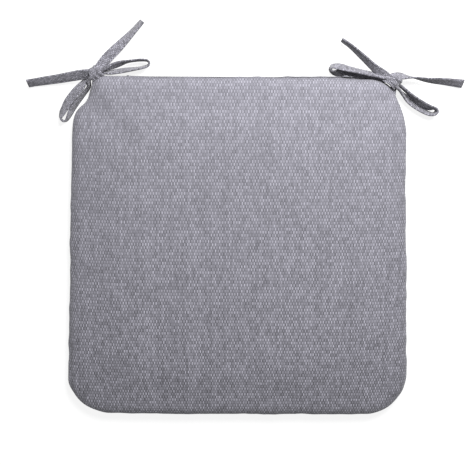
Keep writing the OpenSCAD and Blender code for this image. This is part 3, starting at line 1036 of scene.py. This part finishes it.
def settle_on(tree):
    """Moves a point along its outward line onto the simulated surface, then pulls it in at the seam and adds
    the small puckers that the seam leaves."""
    reach = 12 * MM

    def settle(point, outward):
        if tree:
            hit = tree.ray_cast(point + outward * reach, -outward, 2 * reach)[0]
            if hit is not None:
                rise = (hit - point).dot(outward)
                point = point + outward * (rise + math.hypot(rise, 1 * MM)) / 2
        level = abs(point.z - MID_Z)
        flat = Vector((outward.x, outward.y, 0.0))
        if flat.length > 0.05:
            flat.normalize()
            run = math.atan2(point.y, point.x) * 0.2
            pucker = noise.noise(Vector((run * 90, level * 40, 2.0))) * PUCKER * bell(level, 8 * MM)
            wave = noise.noise(Vector((run * 22, level * 12, 7.0))) * WAVE
            pinch = PINCH * bell(level, 2.2 * MM) * (1 - zip_share(point.xy))
            point += flat * (pucker + wave - pinch)
        point.z = max(point.z, 0.0)
        return point

    return settle


def panel(name, shape, thickness, material, slot, node):
    """A piece of cloth with its thickness on the inner side."""
    obj = make_object(name, *shape)
    modifier(obj, "SOLIDIFY", thickness=thickness, offset=-1)
    return finish_piece(obj, material, slot, node)


def add_cover(cloth):
    """The two panels, the flat size that both are cut to, and their surfaces for what lies on them."""
    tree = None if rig.quick() else swollen_surface()
    settle = settle_on(tree)
    hem = [(0.8 * MM, 0.0), (3 * MM, 0.2 * MM), (8 * MM, 0.4 * MM)]
    size = (FRONT_W + 30 * MM, 2 * REAR_Y + 30 * MM)
    top = half_pad(0.0, MID_Z, EDGE_ROLL, rim_height, hem, settle, TOP_DOME)
    top_obj = panel("cover_top", top, 1 * MM, cloth, "cover_cloth", "cover_top_panel")
    bottom = turned_over(half_pad(0.0, MID_Z, EDGE_ROLL, rim_height, hem, settle_flat(settle)))
    bottom_obj = panel("cover_bottom", bottom, 1 * MM, cloth, "cover_cloth", "cover_bottom_panel")
    return top_obj, bottom_obj, size, [BVHTree.FromPolygons(half[0], half[1]) for half in (top, bottom)]


def settle_flat(settle):
    """As settle, but the half's flat stays flat, because it lies on the chair. Beside the closed slider the
    lower edge stands out a little further than the upper one."""

    def settled(point, outward):
        moved = settle(point.copy(), outward).lerp(point, smooth_step(outward.z ** 2))
        moved.y += LIP * smooth_step((point.x - 35 * MM) / (20 * MM)) * max(outward.y, 0.0) ** 2
        return moved

    return settled


def seam_height(point):
    return SEAM_GAP


def wrinkled(point, outward):
    return point + outward * noise.noise(point * 45) * 0.12 * MM


def rough(point, outward):
    return point - outward * abs(noise.noise(point * 260)) * 0.3 * MM


def add_inside(felt, foam_finish):
    """The liner's two panels, which it returns, and the foam in them."""
    liner_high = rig.box("liner_top")[1]
    inset = REAR_Y - liner_high[1]
    height = liner_high[2] - MID_Z
    hem = [(1 * MM, 0.0), (5 * MM, 0.2 * MM)]
    upper, lower = (
        half_pad(inset, height, EDGE_ROLL, seam_height, hem, wrinkled, dome) for dome in (TOP_DOME, FLAT))
    liner_up = panel("liner_upper", upper, 0.4 * MM, felt, "lining", "liner_top")
    liner_down = panel("liner_lower", turned_over(lower), 0.4 * MM, felt, "lining", "liner_bottom")
    foam_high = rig.box("foam_core")[1]
    foam = closed_pad("foam_slab", REAR_Y - foam_high[1], foam_high[2] - MID_Z, EDGE_ROLL, rough, TOP_DOME)
    finish_piece(foam, foam_finish, "foam", "foam_core")
    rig.padded(foam, fill=1.0)
    return liner_up, liner_down


# ---- zip and threads

STITCH_PITCH = 3.3 * MM
THREAD_R = 0.22 * MM
# One stitch: share of its length, and height over the cloth.
STITCH_RISE = [
    (0.0, -0.35 * MM), (0.1, 0.08 * MM), (0.3, 0.2 * MM),
    (0.7, 0.2 * MM), (0.9, 0.08 * MM), (1.0, -0.35 * MM),
]


def cast(tree, point, way):
    """Where a line through a point, seen from outside along way, first meets the cloth."""
    hit = tree.ray_cast(point + way * 12 * MM, -way, 24 * MM)[0]
    return hit if hit is not None else point


def add_stitches(name, parts, thread, node):
    finish_piece(make_object(name, *joined(parts)), thread, "sewing_thread", node)


def add_topstitches(name, tree, node, upward, thread):
    """A row of separate stitches that follows the cover's own surface beside the zip."""
    low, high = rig.box(node)
    height = (low[2] + high[2]) / 2
    way = Vector((0, 0.77, 0.64 * upward))
    parts = []
    for k in range(int((high[0] - low[0]) / STITCH_PITCH)):
        path = []
        for share, rise in STITCH_RISE:
            x = low[0] + (k + 0.1 + 0.8 * share) * STITCH_PITCH
            path.append(cast(tree, Vector((x, REAR_Y - 1 * MM, height)), way) + way * rise)
        parts.append(tube(path, THREAD_R, 5))
    add_stitches(name, parts, thread, node)


def add_seam_stitches(thread):
    """The thread that closes the cover's edge, sunk between the panels. It leaves the zip and ties clear."""
    parts = []
    count = 450
    sunk, wobble = 1.2 * MM, 0.25 * MM
    for k in range(count):
        path = []
        for share, rise in STITCH_RISE:
            place = outline_xy(4 * (k + 0.8 * share) / count, sunk - rise)
            path.append(Vector((place.x, place.y, MID_Z + wobble * math.sin(3 * k + share))))
        if zip_share(path[0].xy) + tie_share(path[0].xy) == 0:
            parts.append(tube(path, THREAD_R, 4))
    add_stitches("cover_seam_stitches", parts, thread, "cover_seam_thread")


def add_liner_stitches(thread, inset):
    """Overlock stitches that pass to and fro over the liner's edge."""
    count = 1320
    path = []
    for k in range(count):
        place = outline_xy(4 * k / count, inset - (0.35 if k % 2 else 0.25) * MM)
        path.append(Vector((place.x, place.y, MID_Z + (1.3 if k % 4 < 2 else -1.3) * MM)))
    obj = make_object("liner_seam_stitches", *tube(path, 0.18 * MM, 4, closed=True))
    finish_piece(obj, thread, "lining_thread", "liner_seam_thread")


def add_bartacks(side, knot, route, turn, thread):
    """Dense zigzag stitches across the sewn-in ends of a pair of ties, above and below them."""
    node = f"tie_{side}_bartacks"
    low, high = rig.box(node)
    along = Vector((math.cos(turn), math.sin(turn), 0))
    inward = Vector((-along.y, along.x, 0))
    root = Vector(((knot[0] + route[0][0]) * MM, (knot[1] + route[0][1]) * MM, 0))
    half, width, count, thread_r = TIE_W / 2 - 1.2 * MM, 1.3 * MM, 30, 0.15 * MM
    parts = []
    for z in (low[2] + thread_r, high[2] - thread_r):
        path = []
        for k in range(count):
            spot = root + along * mix(-half, half, k / (count - 1)) + inward * (0.4 * MM + width * (k % 2))
            path.append(Vector((spot.x, spot.y, z)))
        parts.append(tube(path, thread_r, 5))
    add_stitches(f"{side}_tie_bartacks", parts, thread, node)


COIL_PITCH = 1.5 * MM
COIL_WIRE = 0.27 * MM


def add_coil(name, node, upward, nylon):
    """One flattened helix of monofilament. Its heads reach to the middle, between those of the other coil."""
    low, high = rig.box(node)
    outer = max(abs(low[2] - MID_Z), abs(high[2] - MID_Z)) - COIL_WIRE
    middle_z = (outer + 0.3 * MM) / 2
    middle_y = (low[1] + high[1]) / 2
    half_y = (high[1] - low[1]) / 2 - COIL_WIRE
    per_turn = 12
    start = low[0] + (0.5 if upward > 0 else 1.0) * COIL_PITCH
    path = []
    for k in range(int((high[0] - low[0] - 2 * COIL_PITCH) / COIL_PITCH) * per_turn):
        turn = 2 * math.pi * k / per_turn
        y = half_y * math.copysign(abs(math.cos(turn)) ** 0.7, math.cos(turn))
        z = (outer - middle_z) * math.copysign(abs(math.sin(turn)) ** 0.8, math.sin(turn))
        sweep = k / per_turn + 0.12 * math.sin(2 * turn)
        path.append(Vector((start + sweep * COIL_PITCH, middle_y + y, MID_Z + upward * (middle_z + z))))
    finish_piece(make_object(name, *tube(path, COIL_WIRE, 6)), nylon, "zip_coil", node)


TAPE_W = 11 * MM
TAPE_T = 0.5 * MM
TAPE_FOOT = 0.9 * MM
TAPE_BEHIND = 1.4 * MM
# Where the tape begins and ends on the rolled edge, in radians up from the middle height.
TAPE_TURN = (0.26, 0.92)


def tape_spot(skin, x, share, upward):
    """Outer face of a tape, behind the cover. share goes from the coil's edge to the free edge."""
    if share == 0:
        return Vector((x, REAR_Y - TAPE_BEHIND, MID_Z + upward * TAPE_FOOT)), Vector((0, 1, 0))
    turn = mix(*TAPE_TURN, share)
    way = Vector((0, math.cos(turn), upward * math.sin(turn)))
    centre = Vector((x, REAR_Y - EDGE_ROLL, MID_Z))
    return cast(skin, centre + way * EDGE_ROLL * 0.8, way) - way * TAPE_BEHIND, way


def add_tape(name, node, skin, upward, twill):
    """Woven tape behind one edge of the cover, with a selvedge and the cord that the coil is sewn to."""
    low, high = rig.box(node)
    columns, rows = 125, 12
    front, back, cloth = [], [], []
    for i in range(columns + 1):
        x = mix(low[0], high[0], i / columns)
        for j in range(rows + 1):
            share = j / rows
            spot, way = tape_spot(skin, x, share, upward)
            wrinkle = 0.1 * MM * noise.noise(Vector((x * 60, share * 2, 4.0)))
            ripple = 0.08 * MM * math.sin(i * 0.9) * share + wrinkle
            swell = 0.12 * MM * (bell(share - 0.04, 0.05) + bell(share - 0.97, 0.04))
            front.append(spot + way * (ripple + swell - 0.1 * MM))
            back.append(spot + way * (ripple - swell - TAPE_T))
            cloth.append((x, share * TAPE_W))
    faces = []
    n, total = rows + 1, (columns + 1) * (rows + 1)
    for i in range(columns):
        for j in range(rows):
            a, b = i * n + j, (i + 1) * n + j
            faces += [(a, b, b + 1, a + 1), (total + a, total + a + 1, total + b + 1, total + b)]
    rim = ([i * n for i in range(columns)] + [columns * n + j for j in range(rows)]
           + [i * n + rows for i in range(columns, 0, -1)] + [rows - j for j in range(rows)])
    for a, b in zip(rim, rim[1:] + rim[:1]):
        faces.append((b, a, total + a, total + b))
    if upward < 0:
        faces = [face[::-1] for face in faces]
    obj = make_object(name, front + back, faces, cloth + cloth)
    return finish_piece(obj, twill, "zip_tape", node)


def prism(outline, low_y, high_y):
    """Closed shape between two heights in Y, from an outline of (x, z) points."""
    n = len(outline)
    points = [Vector((x, y, z)) for y in (low_y, high_y) for x, z in outline]
    faces = [tuple(range(n)), tuple(range(2 * n - 1, n - 1, -1))]
    faces += [(k, k + n, (k + 1) % n + n, (k + 1) % n) for k in range(n)]
    return points, faces, []


def metal_piece(name, shapes, node, body, metal):
    """Closed shapes as one piece with softened edges."""
    obj = make_object(name, *joined(shapes))
    modifier(obj, "BEVEL", width=0.22 * MM, segments=3, limit_method="ANGLE")
    modifier(obj, "WEIGHTED_NORMAL")
    finish_piece(obj, metal, "zip_metal", node, body)


def oval(x, z, half_x, half_z, power, steps=28):
    """Rounded rectangle round a point, as (x, z) points."""
    found = []
    for k in range(steps):
        turn = 2 * math.pi * k / steps
        cos, sin = math.cos(turn), math.sin(turn)
        found.append((x + half_x * math.copysign(abs(cos) ** power, cos),
                      z + half_z * math.copysign(abs(sin) ** power, sin)))
    return found


def add_slider(metal):
    """The slider of a zip without a pull: two shouldered plates joined by a wedge, with a low bridge."""
    low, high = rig.box("zip_slider")
    mid_x = (low[0] + high[0]) / 2
    half_x, half_z = (high[0] - low[0]) / 2, (high[2] - low[2]) / 2
    plate = 1 * MM
    face_y = REAR_Y + 0.5 * MM

    def shouldered(shrink):
        return [(x, MID_Z + (z - MID_Z) * mix(0.72, 1.0, smooth_step((x - low[0]) / (1.4 * half_x))))
                for x, z in oval(mid_x, MID_Z, half_x - shrink, half_z - shrink, 0.45)]

    neck = oval(mid_x + 0.6 * half_x, MID_Z, 0.38 * half_x, 0.35 * MM, 0.6)
    bridge = oval(mid_x, MID_Z, 0.5 * half_x, 0.3 * half_z, 0.6)
    shapes = [
        prism(shouldered(0.0), face_y, face_y + plate * 0.7),
        prism(shouldered(0.5 * MM), face_y + plate * 0.5, face_y + plate),
        prism(shouldered(0.0), low[1], low[1] + plate),
        prism(neck, low[1] + plate * 0.5, face_y + plate * 0.5),
        prism(bridge, face_y + plate * 0.8, high[1]),
    ]
    metal_piece("slider", shapes, "zip_slider", "slider", metal)


def stop_shapes(x, z, half_x, half_z, back_y, front_y):
    """A stop: a staple pressed flat, with two ribs across its face."""
    ribs = [prism(oval(x + shift * half_x, z, 0.28 * half_x, 0.86 * half_z, 0.5), front_y - 0.3 * MM, front_y)
            for shift in (-0.5, 0.5)]
    return [prism(oval(x, z, half_x, half_z, 0.4), back_y, front_y - 0.2 * MM)] + ribs


def add_stops(metal):
    """A stop at the right end of each coil, where the zip closes, and one across both at the left end."""
    low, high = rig.box("zip_top_stops")
    half_x, coil_h = (high[0] - low[0]) / 2, 1.7 * MM
    shapes = []
    for z in (high[2] - coil_h / 2, low[2] + coil_h / 2):
        shapes += stop_shapes((low[0] + high[0]) / 2, z, half_x, coil_h / 2, low[1], high[1])
    metal_piece("top_stops", shapes, "zip_top_stops", "root", metal)
    low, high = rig.box("zip_bottom_stop")
    shapes = stop_shapes((low[0] + high[0]) / 2, MID_Z, half_x, (high[2] - low[2]) / 2, low[1], high[1])
    metal_piece("bottom_stop", shapes, "zip_bottom_stop", "root", metal)


# ---- the whole part

add_camera()
add_floor_and_light()
add_ties(melange_cloth("tie_cloth", 1.2 * MM, 1.8 * MM, 1.5))
# The cover's grain is painted stronger at the front and softer at the rear, as painted light.
cover_top, cover_bottom, cut, (top_skin, bottom_skin) = add_cover(
    melange_cloth("cover_cloth", 1.585 * MM, 3.66 * MM, 0.88, (1.35, 0.7)))
liner_up, liner_down = add_inside(liner_felt(), open_foam())
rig.sheet(cover_top, flat=cut, held="stretched", rests_on=["foam_slab"])
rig.sheet(cover_bottom, flat=cut, held="stretched", rests_on=["foam_slab"])
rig.sheet(liner_up, flat=(0.42, 0.41), held="stretched", rests_on=["foam_slab"])
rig.sheet(liner_down, flat=(0.42, 0.41), held="stretched", rests_on=["foam_slab"])

GREY_THREAD = spun_thread("grey_thread", (0.10, 0.10, 0.118))
add_topstitches("topstitch_upper", top_skin, "zip_stitching_upper", 1, GREY_THREAD)
add_topstitches("topstitch_lower", bottom_skin, "zip_stitching_lower", -1, GREY_THREAD)
add_seam_stitches(GREY_THREAD)
add_bartacks("left", LEFT_KNOT, LEFT_A, math.radians(30), GREY_THREAD)
add_bartacks("right", RIGHT_KNOT, RIGHT_A, math.radians(-43), GREY_THREAD)
add_liner_stitches(spun_thread("white_thread", (0.7, 0.7, 0.68)), REAR_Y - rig.box("liner_top")[1][1])
NYLON, TWILL, METAL = coil_nylon(), twill_tape(), painted_metal()
ZIP_SIDES = [("upper", "cover_top", top_skin, 1), ("lower", "cover_bottom", bottom_skin, -1)]
for side, panel_name, skin, upward in ZIP_SIDES:
    add_coil(f"coil_{side}", f"zip_coil_{side}", upward, NYLON)
    tape = add_tape(f"tape_{side}", f"zip_tape_{side}", skin, upward, TWILL)
    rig.sheet(tape, flat=(0.25, 0.011), held="stretched", rests_on=[panel_name])
add_slider(METAL)
add_stops(METAL)

size_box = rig.bounds()
with open("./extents.json", "w") as out:
    json.dump({"cad": [list(v) for v in cad_box], "visual": [list(v) for v in size_box]}, out)
